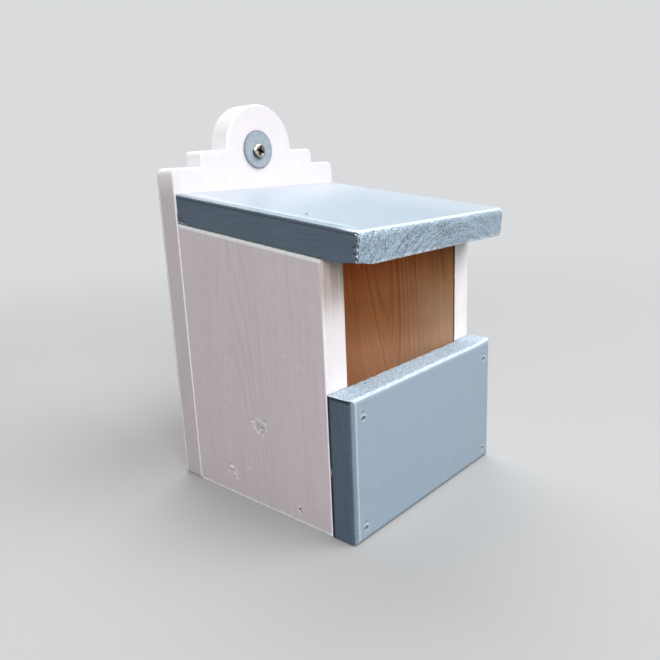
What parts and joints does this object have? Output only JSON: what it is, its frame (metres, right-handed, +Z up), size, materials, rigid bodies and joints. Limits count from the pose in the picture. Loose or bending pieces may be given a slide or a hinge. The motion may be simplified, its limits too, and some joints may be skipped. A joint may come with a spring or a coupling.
{
  "type": "open-fronted nest box",
  "caption": "Wooden nest box with an open front, sloping roof and a stepped back board that hangs flat on a wall by one screw and washer",
  "frame": {"origin": "on the back board's flat back face, in the middle of its width and halfway up to its low shoulders", "axes": "X right as seen from the front, the front faces -Y, Z up; the wall plane is Y = 0"},
  "size_m": [0.15, 0.1953, 0.25],
  "materials": {
    "white_paint": "planed softwood under thin matt white paint, faint upright grain showing, bare inside",
    "blue_paint": "planed softwood under matt blue-grey paint, rough sawn end grain",
    "bare_wood": "unpainted softwood",
    "washer_metal": "pale blue-grey dull plated steel",
    "screw_metal": "yellow passivated steel",
    "pin_metal": "dull steel with a little rust"
  },
  "bodies": {
    "root": {"back_board": "white_paint", "left_side": "white_paint", "right_side": "white_paint", "roof_board": "blue_paint", "front_board": "blue_paint", "floor_board": "bare_wood", "wall_washer": "washer_metal", "wall_screw": "screw_metal", "front_pin_lower_left": "pin_metal", "front_pin_upper_left": "pin_metal", "front_pin_lower_right": "pin_metal", "front_pin_upper_right": "pin_metal", "back_pin_lower_left": "pin_metal", "back_pin_upper_left": "pin_metal", "back_pin_lower_right": "pin_metal", "back_pin_upper_right": "pin_metal", "floor_back_pin_left": "pin_metal", "floor_back_pin_right": "pin_metal", "floor_pin_back_left": "pin_metal", "floor_pin_front_left": "pin_metal", "floor_pin_back_right": "pin_metal", "floor_pin_front_right": "pin_metal", "roof_pin_back_left": "pin_metal", "roof_pin_front_left": "pin_metal", "roof_pin_back_right": "pin_metal", "roof_pin_front_right": "pin_metal"}
  },
  "joints": []
}
